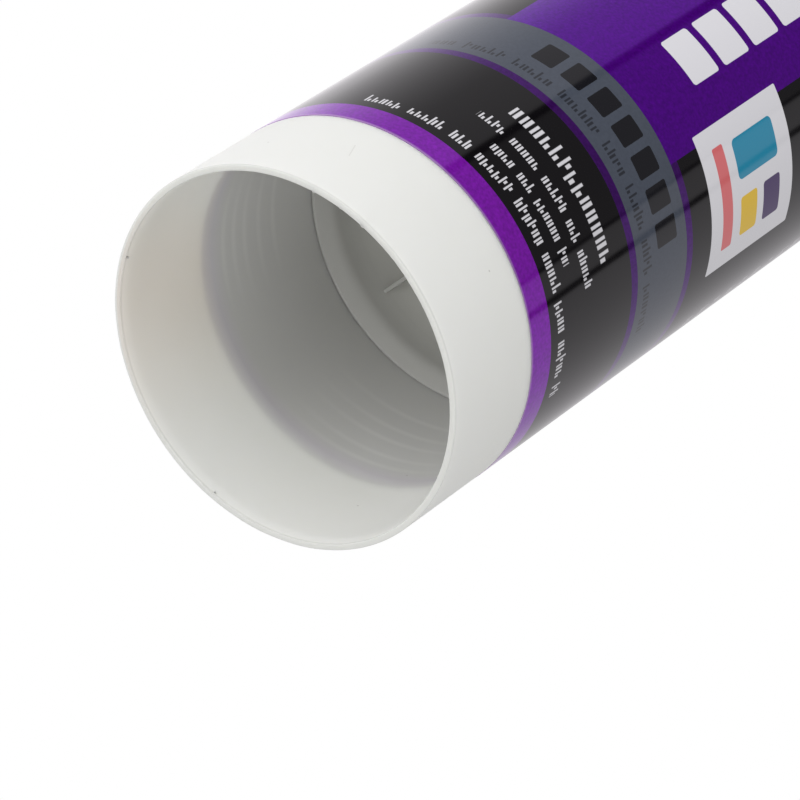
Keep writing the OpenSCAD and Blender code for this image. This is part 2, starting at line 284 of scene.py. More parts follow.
def turned(section, columns, shape=None, loop=False):
    """Surface of revolution: x = r sin(a), y = -r cos(a), z = z, for the angle a from the front.

    shape(a, r, z) may move r and z. A section that starts and ends on the axis closes in two
    poles; with loop it closes on itself. Returns corner points and faces.
    """
    rows = len(section)
    a = np.arange(columns) * 2 * np.pi / columns
    grid_a, grid_r = np.meshgrid(a, section[:, 0])
    grid_z = np.repeat(section[:, 1:2], columns, axis=1)
    if shape is not None:
        grid_r, grid_z = shape(grid_a, grid_r, grid_z)
    points = np.stack([grid_r * np.sin(grid_a), -grid_r * np.cos(grid_a), grid_z], -1)
    index = np.arange(rows * columns).reshape(rows, columns)
    body = index if loop else index[1:-1]
    upper = np.roll(body, -1, axis=0) if loop else body[1:]
    lower = body if loop else body[:-1]
    faces = np.stack([lower, np.roll(lower, -1, 1), np.roll(upper, -1, 1), upper], -1).reshape(-1, 4)
    if loop:
        return points.reshape(-1, 3), [faces]
    # The two pole rows shrink to one point each
    points = np.concatenate([points[1:-1].reshape(-1, 3), points[:1, 0], points[-1:, 0]])
    index = np.arange((rows - 2) * columns).reshape(rows - 2, columns)
    faces -= columns
    first, last = len(points) - 2, len(points) - 1
    near = np.stack([np.full(columns, first), np.roll(index[0], -1), index[0]], -1)
    far = np.stack([np.full(columns, last), index[-1], np.roll(index[-1], -1)], -1)
    return points, [faces, near, far]


def block(size, centre, turn, narrow):
    """A closed box of a size about a centre, turned about the Z axis afterwards.

    Its width in Y shrinks to the share narrow at its lower end.
    """
    signs = np.array([[x, y, z] for x in (-1, 1) for y in (-1, 1) for z in (-1, 1)], float)
    points = signs * np.asarray(size) / 2
    points[:, 1] *= np.where(signs[:, 2] < 0, narrow, 1.0)
    points += np.asarray(centre)
    c, s = math.cos(turn), math.sin(turn)
    points = points @ np.array([[c, s, 0], [-s, c, 0], [0, 0, 1]])
    faces = [[0, 1, 3, 2], [4, 6, 7, 5], [0, 4, 5, 1], [2, 3, 7, 6], [0, 2, 6, 4], [1, 5, 7, 3]]
    return points, [np.array(faces)]


def pebble(size, centre):
    """A small closed lump: an ellipsoid with half axes size, x = sin(v) cos(u) and so on."""
    columns, rows = 14, 8
    v = np.linspace(0, np.pi, rows)
    section = np.stack([np.sin(v), -np.cos(v)], -1)
    section[[0, -1], 0] = 0
    points, faces = turned(section, columns)
    return points * np.asarray(size) + np.asarray(centre), faces


def outward(points, faces):
    """The faces, turned over where the closed surface they make has a negative volume."""
    volume = 0.0
    for part in faces:
        a = points[part[:, 0]]
        for k in range(1, part.shape[1] - 1):
            volume += np.einsum("ij,ij->i", a, np.cross(points[part[:, k]], points[part[:, k + 1]])).sum()
    return faces if volume > 0 else [part[:, ::-1] for part in faces]


def piece(name, shells, material, body, node):
    """One mesh object from closed shells, smooth except at sharp edges, riding on its body."""
    all_points, all_faces, start = [], [], 0
    for points, faces in shells:
        all_faces += [f for part in outward(points, faces) for f in (part + start).tolist()]
        all_points.append(points)
        start += len(points)
    mesh = bpy.data.meshes.new(name)
    mesh.from_pydata(np.concatenate(all_points).tolist(), [], all_faces)
    mesh.validate()
    mesh.shade_smooth()
    mesh.set_sharp_from_angle(angle=SHARP_EDGE)
    mesh.materials.append(material)
    thing = bpy.data.objects.new(name, mesh)
    bpy.context.scene.collection.objects.link(thing)
    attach(thing, body)
    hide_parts(node)
    return thing


# Materials

def both(operation):
    """An operator that adds one Math node, and its reflected form."""
    return (lambda self, other: self.nodes.math(operation, self, other),
            lambda self, other: self.nodes.math(operation, other, self))


class Num:
    """A number in a node tree. Python's operators on it add Math nodes."""

    def __init__(self, nodes, socket):
        self.nodes, self.socket = nodes, socket

    __add__, __radd__ = both("ADD")
    __sub__, __rsub__ = both("SUBTRACT")
    __mul__, __rmul__ = both("MULTIPLY")
    __truediv__, __rtruediv__ = both("DIVIDE")
    __mod__, __rmod__ = both("FLOORED_MODULO")
    __pow__, __rpow__ = both("POWER")
    __lt__, __gt__ = both("LESS_THAN")

    def __neg__(self):
        return self.nodes.math("SUBTRACT", 0.0, self)

    def __abs__(self):
        return self.nodes.math("ABSOLUTE", self)


class Nodes:
    """Adds nodes to one node tree."""

    def __init__(self, tree):
        self.tree = tree
        tree.nodes.clear()

    def node(self, kind, settings=(), inputs=()):
        """Adds a node, sets its settings, and fills its inputs with values, sockets or numbers."""
        made = self.tree.nodes.new(kind)
        for key, value in dict(settings).items():
            setattr(made, key, value)
        for key, value in dict(inputs).items():
            socket = next(s for s in made.inputs if s.identifier == key)
            if isinstance(value, Num):
                value = value.socket
            if isinstance(value, bpy.types.NodeSocket):
                self.tree.links.new(value, socket)
            else:
                socket.default_value = value
        return made

    def math(self, operation, *values):
        """The result of one Math node."""
        made = self.node("ShaderNodeMath", {"operation": operation}, zip(("Value", "Value_001"), values))
        return Num(self, made.outputs[0])


class Paint(Nodes):
    """One material with the masks, colours and noises that its finish is made of."""

    def __init__(self, name):
        self.material = bpy.data.materials.new(name)
        self.material.use_nodes = True
        super().__init__(self.material.node_tree)
        self.place = self.node("ShaderNodeTexCoord").outputs["Object"]
        axes = self.node("ShaderNodeSeparateXYZ", inputs={"Vector": self.place}).outputs
        self.x, self.y, self.z = (Num(self, axes[k]) for k in "XYZ")

    def clamp(self, value):
        """The value kept from 0 to 1."""
        return self.math("MINIMUM", self.math("MAXIMUM", value, 0.0), 1.0)

    def step(self, value, edge, soft):
        """0 below the edge, 1 above it, with a soft change of this width."""
        return self.clamp((value - edge) / soft + 0.5)

    def band(self, value, low, high, soft):
        """1 from low to high, 0 elsewhere."""
        return self.step(value, low, soft) * (1.0 - self.step(value, high, soft))

    def bump_at(self, value, centre, half):
        """A smooth hill of height 1 about a centre, 0 beyond half its width."""
        rise = self.clamp(1.0 - abs(value - centre) / half)
        return rise * rise * (3.0 - 2.0 * rise)

    def box(self, u, v, centre, half, corner, soft):
        """A box with rounded corners in (u, v), both in mm: 1 inside, 0 outside."""
        du = abs(u - centre[0]) - (half[0] - corner)
        dv = abs(v - centre[1]) - (half[1] - corner)
        out_u, out_v = self.math("MAXIMUM", du, 0.0), self.math("MAXIMUM", dv, 0.0)
        away = self.math("SQRT", out_u * out_u + out_v * out_v) - corner
        return self.clamp(0.5 - away / soft)

    def mix(self, amount, a, b):
        """Colour a where the amount is 0, b where it is 1."""
        a, b = (c if isinstance(c, bpy.types.NodeSocket) else (*c, 1.0) for c in (a, b))
        inputs = {"Factor_Float": amount, "A_Color": a, "B_Color": b}
        made = self.node("ShaderNodeMix", {"data_type": "RGBA"}, inputs)
        return next(s for s in made.outputs if s.identifier == "Result_Color")

    def shade(self, base, amount):
        """Colour times a number."""
        made = self.node("ShaderNodeVectorMath", {"operation": "SCALE"}, {"Vector": base, "Scale": amount})
        return made.outputs["Vector"]

    def noise(self, per_mm, detail=2.0):
        """Smooth noise from 0 to 1 with so many waves in a millimetre."""
        inputs = {"Vector": self.place, "Scale": per_mm / MM, "Detail": detail}
        return Num(self, self.node("ShaderNodeTexNoise", (), inputs).outputs[0])

    def chance(self, value):
        """A random number from 0 to 1 for each whole number."""
        made = self.node("ShaderNodeTexWhiteNoise", {"noise_dimensions": "1D"}, {"W": value})
        return Num(self, made.outputs["Value"])

    def finish(self, base, roughness, **sockets):
        """The one shader of the material."""
        base = base if isinstance(base, bpy.types.NodeSocket) else (*base, 1.0)
        inputs = {"Base Color": base, "Roughness": roughness}
        inputs.update({key.replace("_", " "): value for key, value in sockets.items()})
        shader = self.node("ShaderNodeBsdfPrincipled", (), inputs)
        self.node("ShaderNodeOutputMaterial", (), {"Surface": shader.outputs[0]})
        return self.material

    def relief(self, height, depth):
        """A normal from a height from 0 to 1 that stands for this depth in metres."""
        made = self.node("ShaderNodeBump", (), {"Height": height, "Distance": depth, "Strength": 1.0})
        return made.outputs[0]


def front_angle(paint):
    """Degrees round the tube from its front, from -180 to 180."""
    return paint.math("ARCTAN2", paint.x, -paint.y) * (180 / math.pi)


def axis_distance(paint):
    """Distance from the tube's axis in metres."""
    return paint.math("SQRT", paint.x * paint.x + paint.y * paint.y)


def mm_per_degree(tube):
    """Length in mm of one degree round the tube."""
    return tube.radius / MM * math.pi / 180


def wall_behind_label(p, colours, label, past, z):
    """Inner wall behind the label, in painted shade. The print's rows show through as thin lighter lines of
    painted light.
    """
    # Painted light through the ring just past the label's start, and painted shade behind the rest of the
    # label
    below_ring = 1.0 - p.step(z, (label.start + 0.6 * label.ring) / MM, 3.4)
    wall = p.mix(below_ring, colours.behind, colours.ring_painted_light)
    # The rows slope a little on the right
    sloped = z + (past - 140.0) * 0.018
    half, strength = 0.75, 0.09
    # Painted light: thin lighter lines where the print's rows let light through the wall
    lines = sum(p.bump_at(sloped, at, half) for at in ROWS_RIGHT) * p.bump_at(past, 138.0, 36.0)
    lines = lines + sum(p.bump_at(z, at, half) for at in ROWS_LEFT) * p.bump_at(past, 224.0, 28.0)
    # Painted shade round 178 degrees and painted light round 240 degrees
    uneven = 1.03 - 0.15 * p.bump_at(past, 178.0, 44.0) + 0.14 * p.bump_at(past, 240.0, 40.0)
    return p.shade(wall, (1.0 + strength * lines) * uneven)


def bare_wall(p, colours, mouth, past, z):
    """Bare plastic. Inside the mouth it has painted warm light on the left and painted light that grows
    towards the label.
    """
    # Painted warm light on the left of the mouth, and painted light at two angles that grows towards the
    # label
    bare = p.mix(mouth * p.bump_at(past, 225.0, 60.0), colours.tube, colours.warm_painted_light)
    lighter = 0.2 * p.bump_at(past, 250.0, 50.0) + 0.09 * p.bump_at(past, 105.0, 30.0)
    return p.shade(bare, 1.0 + mouth * lighter * p.clamp((z - 4.0) / 12.0))


def tube_wear(p, tube, phi, z):
    """Dark specks and one faint scratch that leans with its height: 0 where there are none."""
    per_degree = mm_per_degree(tube)
    u = phi * per_degree
    speck_half, scratch_half = (0.13, 0.09), (0.05, 1.3)
    specks = sum(p.box(u, z, (at * per_degree, up), speck_half, 0.08, 0.1) for at, up in SPECKS)
    scratch_u, scratch_z, lean = -17.4, 10.0, 0.35
    scratch = p.box(u + lean * z, z, (scratch_u + lean * scratch_z, scratch_z), scratch_half, 0.04, 0.12)
    return p.clamp(specks * 0.5 + scratch * 0.3)


def tube_finish(colours, tube, label):
    """Satin white plastic. The inner wall has painted shade and tint where the label keeps light from
    shining through it, and painted light in the mouth.
    """
    p = Paint("tube satin white")
    phi, z = front_angle(p), p.z / MM
    past = phi % 360.0
    start = label.start / MM
    inside = 1.0 - p.step(axis_distance(p) / MM, tube.radius / MM - 0.35, 0.1)
    # Painted shade: the inner wall behind the label
    behind = p.step(z, start + 0.8, 2.4) * inside * (1.0 - p.step(z, tube.body / MM - 3, 1.0))
    mouth = inside * (1.0 - p.step(z, start + 10.0, 5.0))
    bare = bare_wall(p, colours, mouth, past, z)
    base = p.mix(behind, bare, wall_behind_label(p, colours, label, past, z))
    # A soft mottle, painted shade that darkens the plastic a little from the rim up to the label's start,
    # and a cut rim that is a little grey
    base = p.shade(base, (0.985 + 0.03 * p.noise(0.11)) * (1.0 - 0.05 * p.clamp(z / start)))
    base = p.shade(base, 0.74 + 0.26 * p.step(z, 0.3, 0.3))
    base = p.mix(tube_wear(p, tube, phi, z), base, (0.33, 0.31, 0.28))
    rough = 0.40 + 0.12 * p.noise(0.4)
    return p.finish(base, rough, IOR=1.42, Subsurface_Weight=0.85, Subsurface_Radius=(1.0, 1.0, 0.94),
                    Subsurface_Scale=0.0022, Normal=p.relief(p.noise(0.16, 1.0), 0.00003))


class Print:
    """Masks of the label's print on the unrolled film, where u runs round it and z up it in mm.

    soft is how soft the inks' edges are, and shift is where the rows' cells are counted from.
    """
    soft, shift = 0.06, 40.0

    def __init__(self, paint, label, tube):
        self.p, self.label = paint, label
        self.phi, self.z = front_angle(paint), paint.z / MM
        self.per_degree = mm_per_degree(tube)
        self.u = self.phi * self.per_degree
        self.start, self.end = label.start / MM, label.end / MM
        self.black_z = self.start + label.ring / MM
        self.low_line = self.black_z + label.black_band / MM
        self.grey_z = self.low_line + label.line / MM
        self.high_line = self.grey_z + label.grey_band / MM
        self.main_z = self.high_line + label.line / MM
        self.front_ring = self.end - label.ring / MM
        self.front_black = self.front_ring - label.front_band / MM
        self.front_line = self.front_black - label.line / MM

    def mm(self, radians):
        """Length round the film of an angle."""
        return math.degrees(radians) * self.per_degree

    def level(self, low, high):
        """1 between two heights."""
        return self.p.band(self.z, low, high, self.soft)

    def rings(self):
        """The coloured rings at both ends."""
        p = self.p
        return p.step(self.z, self.front_ring, self.soft) + (1.0 - p.step(self.z, self.black_z, self.soft))

    def lines(self):
        """The thin lines beside the grey band and below the front band."""
        return (self.level(self.front_line, self.front_black) + self.level(self.low_line, self.grey_z)
                + self.level(self.high_line, self.main_z))

    def grey(self):
        """The grey band."""
        return self.level(self.grey_z, self.high_line)

    def field(self):
        """The coloured field, which covers the upper thin line too."""
        across = self.p.band(self.u, self.mm(self.label.field_from), self.mm(self.label.field_to), self.soft)
        return self.level(self.high_line, self.front_line) * across

    def marks(self, along, height, seed, gaps=1.0):
        """Small marks in the place of type: along counts cells, height runs from 0 to 1 over the row.

        Each cell holds an upright mark and a second one that fills the whole height, the lower half
        or the upper half, as drawn. About every sixth cell is empty, as between words.
        """
        p, word = self.p, 6.0
        cell = p.math("FLOOR", along)
        within = along - cell
        tall, hang, kind = (p.chance(cell + seed + shift) for shift in (0.5, 200.5, 400.5))
        group = p.math("FLOOR", cell / word)
        empty = group * word + p.math("FLOOR", p.chance(group + seed + 600.5) * 3.0)
        base, middle, top = 0.14, 0.46, 0.76
        side, end = 0.06, 0.04
        low, high = base - base * (hang > 0.86), top + (1 - top) * (tall > 0.62)
        upright = p.band(within, 0.10, 0.34, side) * p.band(height, low, high, end)
        low = base + (middle - base) * (kind < 0.25)
        high = top - (top - middle) * (kind > 0.25) * (kind < 0.5)
        second = p.band(within, 0.50, 0.80, side) * p.band(height, low, high, end)
        return (upright + second) * (1.0 - gaps * (abs(cell - empty) < 0.5))

    def white_rows(self):
        """The rows of small marks in the black band."""
        p, z = self.p, self.z
        low, size, cell, seed, words, shown = self.black_z, 1.0, 1.0, 0.0, 1.0, 0.0
        for up, high, wide, row_seed, row_words, spans in WHITE_ROWS:
            at = self.black_z + up * self.label.black_band / MM
            here = (z > at) * (z < at + high)
            low = low + here * (at - self.black_z)
            size = size + here * (high - 1.0)
            cell = cell + here * (wide - 1.0)
            seed = seed + here * row_seed
            words = words - here * (1.0 - row_words)
            shown = shown + here * sum(p.band(self.phi, first, last, 0.2) for first, last in spans)
        return self.marks((self.u + self.shift) / cell, (z - low) / size, seed, words) * shown

    def grey_row(self):
        """The row of small marks low on the grey band."""
        gap, height, cell, seed = 1.2, 2.1, 1.2, 47.0
        marks = self.marks((self.u + self.shift) / cell, (self.z - self.grey_z - gap) / height, seed)
        return marks * self.p.band(self.phi, -65.0, 60.0, 0.2)

    def dark_blocks(self):
        """The dark blocks in the grey band."""
        p, label = self.p, self.label
        pitch, grey = self.mm(label.dark_pitch), label.grey_band / MM
        spread = pitch * label.darks
        repeat = (self.u + spread / 2) % pitch - pitch / 2
        half = (self.mm(label.dark_angle) / 2, 0.195 * grey)
        blocks = p.box(repeat, self.z, (0.0, self.grey_z + 0.615 * grey), half, 0.35, self.soft)
        return blocks * p.band(self.u, -spread / 2, spread / 2, self.soft)

    def white_blocks(self):
        """The column of white blocks on the coloured field."""
        p, label = self.p, self.label
        pitch, high, width = label.block_pitch / MM, label.block / MM, self.mm(label.block_angle)
        first = self.main_z + label.block_gap / MM
        repeat = (self.z - (first - (pitch - high) / 2)) % pitch - pitch / 2
        blocks = p.box(self.u, repeat, (-width / 2, 0.0), (width / 2, high / 2), 0.5, self.soft)
        return blocks * self.level(first - 0.5, first + pitch * label.blocks - 0.9)

    def panels(self):
        """The white panels and then the boxes of their motif, each with its colour's name."""
        label = self.label
        pitch, height = label.panel_pitch / MM, label.panel / MM
        first = self.main_z + label.panel_gap / MM
        start, width = self.mm(label.panel_from), self.mm(label.panel_to) - self.mm(label.panel_from)
        repeat = (self.z - first + (pitch - height) / 2) % pitch - (pitch - height) / 2
        in_count = self.level(first - 1, first + pitch * (label.panels - 1) + height + 1)
        masks = []
        for name, low, high, left, right, corner in PANEL:
            centre = (start + (left + right) / 2 * width, (low + high) / 2 * height)
            half = ((right - left) / 2 * width, (high - low) / 2 * height)
            masks.append((name, self.p.box(self.u, repeat, centre, half, corner, self.soft) * in_count))
        return masks

    def back_rows(self):
        """Columns of small rows on the back, with uneven right edges."""
        p, row_pitch, row_from = self.p, 3.4, 60.0
        place = (self.z - row_from) / row_pitch
        row = p.math("FLOOR", place)
        ragged = p.chance(row + 0.5) * 6.0
        columns = 0.0
        for first, last, rows in BACK_COLUMNS:
            left, right = first * self.per_degree, last * self.per_degree - ragged
            across = p.step(self.u, left, self.soft) * (1.0 - p.step(self.u, right, self.soft))
            columns = columns + across * p.band(row, -0.5, rows - 0.5, 0.1)
        return self.marks(self.u / 0.95, (place - row) * 1.6, row * 53.0) * columns

    def fringe(self, tube):
        """A pale fringe where the film's rear edge ends, which strays from square by the slant."""
        edge_z = self.start - self.label.slant / MM * (self.p.x / tube.radius)
        return 1.0 - self.p.step(self.z, edge_z + 0.22, 0.3)


def print_finish(colours, label, tube):
    """Glossy printed film: rings, bands, the coloured field, blocks, panels and rows of small marks."""
    p = Paint("printed film")
    film, ink = Print(p, label, tube), colours
    rings, lines, field = film.rings(), film.lines(), film.field()
    base = p.mix(rings, ink.black, ink.ring)
    base = p.mix(p.clamp(lines), base, ink.line)
    base = p.mix(film.grey(), base, ink.grey)
    base = p.mix(field, base, ink.field)
    # Fine flakes in the inks, strongest in the coloured ones
    flakes = p.noise(2.3, 1.0)
    base = p.shade(base, 1.0 + (flakes - 0.5) * (0.25 + 0.55 * p.clamp(rings + lines + field)))
    base = p.mix(p.clamp(film.grey_row() * 0.75 + film.dark_blocks()), base, ink.dark)
    white = p.clamp(film.white_rows() * 0.92 + film.white_blocks() + film.back_rows() * 0.6)
    base = p.mix(white, base, ink.white)
    panels = film.panels()
    for name, mask in panels:
        base = p.mix(mask, base, getattr(ink, name))
    base = p.mix(film.fringe(tube) * 0.55, base, (0.60, 0.42, 0.66))
    rough = 0.075 + 0.03 * p.noise(0.7)
    metal = (0.3 * rings + 0.6 * p.clamp(lines + field)) * (1.0 - white) * (1.0 - panels[0][1])
    return p.finish(base, rough, Metallic=metal, IOR=1.47, Normal=p.relief(p.noise(0.05, 2.0), 0.00002))


def piston_finish(colours, tube, piston):
    """Milky plastic with painted light that makes it lighter far into the cup, and painted shade on the
    ribs' rear edges.
    """
    p = Paint("piston milky plastic")
    z, r = p.z / MM, axis_distance(p) / MM
    rear = piston.depth / MM
    cup = (tube.radius - tube.wall - piston.skirt_gap - piston.wall) / MM
    # Painted light far into the cup, and painted shade on the ribs' rear edges
    painted_light_in_cup = p.step(z, rear + 6.5, 7.0)
    edges = (1.0 - p.step(r, cup - 0.3, 0.3)) * (1.0 - p.step(z, rear + piston.rib_drop / MM + 0.7, 0.3))
    mottle = 0.98 + 0.04 * p.noise(0.15)
    base = p.shade(list(colours.piston), (0.96 + 0.55 * painted_light_in_cup) * (1.0 - 0.15 * edges) * mottle)
    return p.finish(base, 0.42, IOR=1.5)


def plain_finish(name, tone, rough, mottle):
    """A plain plastic or paste with a soft mottle."""
    p = Paint(name)
    base = p.shade(list(tone), 1.0 - mottle / 2 + mottle * p.noise(0.15))
    return p.finish(base, rough, IOR=1.5)


# Pieces

class CARTRIDGE_OT_tube(bpy.types.Operator):
    """Moulded tube with its open mouth, front wall, boss, threaded neck and closed tip"""
    bl_idname = "cartridge.tube"
    bl_label = "Tube"

    def execute(self, context):
        scene = context.scene
        t, label = scene.cartridge_tube, scene.cartridge_label
        bore, outer = t.radius - t.wall, t.radius
        inside_z, boss_z = t.body - t.front_wall, t.body + t.boss
        neck_z = boss_z + t.neck
        tip_z = neck_z + t.tip
        fine, edge, corner, chamfer, under_film = 0.00018, 0.00004, 0.0004, 0.0002, 0.00003
        recess = outer - label.film - under_film
        section = rounded([
            (0, tip_z - t.tip_wall, 0), (t.tip_radius - t.tip_wall, tip_z - t.tip_wall, fine),
            (t.neck_bore, neck_z - t.tip_wall, fine), (t.neck_bore, inside_z, fine),
            (bore, inside_z, 0.001), (bore, t.lead_in, corner),
            (bore + chamfer, 0, 0.0001), (outer, 0, 0.00016),
            (outer, label.start, edge), (recess, label.start, edge),
            (recess, label.end, edge), (outer, label.end, edge),
            (outer, t.body, t.edge), (t.boss_radius, t.body, fine), (t.boss_radius, boss_z, fine),
            (t.neck_radius, boss_z, fine), (t.neck_radius, neck_z, fine),
            (t.tip_radius, tip_z, corner), (0, tip_z, 0),
        ], steps=5)
        section = closer(section, boss_z + fine, neck_z - fine, 0.0002)
        wander = np.random.default_rng(5).normal(size=(2, 24))
        waves = np.arange(3, 27)
        fade, thread_from, run_in, half_foot, flank = 0.0015, 0.0025, 0.25, 0.00085, 0.00045
        neck_low, neck_high = boss_z + 0.0003, neck_z - 0.0003

        def shape(a, r, z):
            # The cut rim: z grows by a sum of waves round the mouth, fading out above it
            strays = np.tensordot(wander[0] / waves ** 0.6, np.cos(waves[:, None, None] * a), 1)
            strays += np.tensordot(wander[1] / waves ** 0.6, np.sin(waves[:, None, None] * a), 1)
            strays = (strays - strays.min()) / (strays.max() - strays.min())
            z = z + t.rim_wobble * strays * np.clip(1 - z / fade, 0, 1)
            # The thread: r grows by a ridge that rises one pitch a turn and fades in and out
            turn = (a - np.pi / 2) / (2 * np.pi)
            along = (z - boss_z - thread_from) / t.thread_pitch - turn
            nearest = np.round(along)
            away = np.abs(along - nearest) * t.thread_pitch
            rise = np.clip(np.minimum(turn + nearest, t.thread_turns - turn - nearest) / run_in, 0, 1)
            ridge = np.clip((half_foot - away) / flank, 0, 1)
            ridge = ridge * ridge * (3 - 2 * ridge)
            on_neck = (np.abs(r - t.neck_radius) < 0.0001) & (z > neck_low) & (z < neck_high)
            return r + np.where(on_neck, t.thread_depth * rise * ridge, 0), z

        shells = [turned(section, 288, shape)]
        r, up = bore + 0.00012, 0.0004
        for degrees, scale in BURRS:
            a, size = math.radians(degrees), t.burr * scale
            place = (r * math.sin(a), -r * math.cos(a), up)
            shells.append(pebble((size * 0.7, size * 0.6, size * 0.55), place))
        finish = tube_finish(scene.cartridge_colours, t, label)
        piece("tube", shells, finish, "barrel", "barrel")
        return {"FINISHED"}


class CARTRIDGE_OT_label(bpy.types.Operator):
    """Printed film round the tube, flush with its bare ends"""
    bl_idname = "cartridge.label"
    bl_label = "Label"

    def execute(self, context):
        scene = context.scene
        t, label = scene.cartridge_tube, scene.cartridge_label
        proud, edge, fade = 0.00003, 0.00004, 0.01
        inner, outer = t.radius - label.film, t.radius + proud
        section = rounded([
            (inner, 0.1, 0), (inner, label.end, edge), (outer, label.end, edge),
            (outer, label.start, edge), (inner, label.start, edge), (inner, 0.0999, 0),
        ], steps=3)

        def shape(a, r, z):
            # The rear edge strays from square by one wave and two small ripples
            low = np.clip(1 - (z - label.start) / fade, 0, 1)
            ripples = 0.00003 * np.sin(11 * a) + 0.00002 * np.sin(29 * a + 1)
            return r, z - low * (label.slant * np.sin(a) + ripples)

        finish = print_finish(scene.cartridge_colours, label, t)
        piece("label", [turned(section, 384, shape, loop=True)], finish, "barrel", "label")
        return {"FINISHED"}


class CARTRIDGE_OT_piston(bpy.types.Operator):
    """Piston with two flared lips, a cup in its rear, six ribs and the ring where they meet"""
    bl_idname = "cartridge.piston"
    bl_label = "Piston"

    def execute(self, context):
        scene = context.scene
        t, s = scene.cartridge_tube, scene.cartridge_piston
        bore = t.radius - t.wall
        lip, skirt = bore - s.gap, bore - s.skirt_gap
        cup = skirt - s.wall
        rear, front = s.depth, s.depth + s.body
        floor = rear + s.cup
        fine, corner, front_flare, hub_wall = 0.00012, 0.0004, 0.0003, 0.001
        section = rounded([
            (0, floor, 0), (cup - s.taper, floor, 0.0015), (cup, rear + s.lip, 0.0009),
            (lip - s.lip_edge, rear, fine), (lip, rear, fine), (lip, rear + s.land, fine),
            (skirt, rear + s.land + s.lip, corner), (skirt, front - s.land - s.lip, corner),
            (lip, front - s.land, fine), (lip, front, fine), (lip - s.lip_edge, front, fine),
            (cup - s.taper + front_flare, floor + s.floor, corner), (0, floor + s.floor, 0),
        ], steps=6)
        shells = [turned(section, 288)]
        top = s.cup - s.rib_drop + s.floor / 2
        middle = rear + s.rib_drop + top / 2
        start, reach, narrow = s.hub - hub_wall / 2, cup + s.wall / 3, 0.45
        for i in range(s.ribs):
            turn = math.pi / 2 + i * 2 * math.pi / s.ribs
            shells.append(block((reach - start, s.rib, top), ((reach + start) / 2, 0, middle), turn, narrow))
        inner, low, high = s.hub - hub_wall, middle - top / 2, middle + top / 2
        hub = rounded([
            (s.hub, middle, 0), (s.hub, low, fine), (inner, low, fine), (inner, high, 0), (s.hub, high, 0),
        ])
        shells.append(turned(hub, 96, loop=True))
        finish = piston_finish(scene.cartridge_colours, t, s)
        piece("piston", shells, finish, "piston", "piston")
        return {"FINISHED"}


class CARTRIDGE_OT_paste(bpy.types.Operator):
    """Adhesive paste that fills the tube in front of the piston"""
    bl_idname = "cartridge.paste"
    bl_label = "Paste"

    def execute(self, context):
        scene = context.scene
        t, s = scene.cartridge_tube, scene.cartridge_piston
        gap = 0.0003
        bore = t.radius - t.wall
        cup = bore - s.skirt_gap - s.wall - s.taper
        floor, front = s.depth + s.cup + s.floor + gap, s.depth + s.body + gap
        lip = bore - s.gap - s.lip_edge - gap
        inside_z, neck_z = t.body - t.front_wall, t.body + t.boss + t.neck - t.tip_wall - gap
        outer, neck, edge, bevel = bore - gap, t.neck_bore - gap, 0.0003, 0.0015
        section = rounded([
            (0, floor, 0), (cup, floor, edge), (lip, front, edge), (outer, front, edge),
            (outer, inside_z - gap - bevel, edge), (outer - bevel, inside_z - gap, edge),
            (neck, inside_z - gap, edge), (neck, neck_z, edge), (0, neck_z, 0),
        ])
        finish = plain_finish("beige paste", scene.cartridge_colours.paste, 0.6, 0.1)
        made = piece("paste", [turned(section, 192)], finish, "barrel", "adhesive")
        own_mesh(made)
        return {"FINISHED"}


class CARTRIDGE_OT_nozzle(bpy.types.Operator):
    """Tapered nozzle with a ribbed collar that screws onto the neck"""
    bl_idname = "cartridge.nozzle"
    bl_label = "Nozzle"

    def execute(self, context):
        scene = context.scene
        t, n = scene.cartridge_tube, scene.cartridge_nozzle
        seat = t.body + t.boss
        collar_z = seat + n.collar
        foot_z, tip_z = collar_z + 0.001, seat + n.length
        socket = t.neck_radius + t.thread_depth + n.socket_gap
        fine, chamfer = 0.00015, 0.0005
        socket_z = seat + t.neck + chamfer
        section = rounded([
            (socket, seat + 0.01, 0), (socket, seat + chamfer, fine), (socket + chamfer, seat, fine),
            (n.collar_radius, seat, fine), (n.collar_radius, collar_z - n.chamfer, fine),
            (n.collar_radius - n.chamfer, collar_z, fine), (n.foot, foot_z, fine * 2),
            (n.tip, tip_z, fine), (n.tip - n.tip_wall, tip_z, fine), (n.foot - n.wall, foot_z, fine),
            (socket, socket_z, fine), (socket, seat + 0.0101, 0),
        ])
        low, high = seat + n.grip_end, collar_z - n.grip_end
        section = closer(section, seat + fine, collar_z - n.chamfer - fine, 0.0004)
        round_off, flank, run_out = 0.0001, 0.0003, 0.0006

        def shape(a, r, z):
            # Grips: r grows by a ridge of fixed width at equal angles, with tapered ends
            part = 2 * np.pi / n.grips
            away = np.abs((a + part / 2) % part - part / 2) * n.collar_radius
            ridge = np.clip((n.grip_width / 2 + round_off - away) / flank, 0, 1)
            ends = np.clip(np.minimum(z - low, high - z) / run_out, 0, 1)
            on_collar = np.abs(r - n.collar_radius) < 0.00001
            return r + np.where(on_collar, n.grip * ridge * ends, 0), z

        finish = plain_finish("nozzle milky plastic", scene.cartridge_colours.nozzle, 0.38, 0.03)
        shells = [turned(section, 480, shape, loop=True)]
        piece("nozzle", shells, finish, "nozzle", "nozzle")
        return {"FINISHED"}


# Stage

def sheet(name, points, faces, material):
    """One stage object that isn't part of the cartridge."""
    mesh = bpy.data.meshes.new(name)
    mesh.from_pydata(points.tolist(), [], faces.tolist())
    mesh.shade_smooth()
    mesh.materials.append(material)
    made = bpy.data.objects.new(name, mesh)
    bpy.context.scene.collection.objects.link(made)
    return made


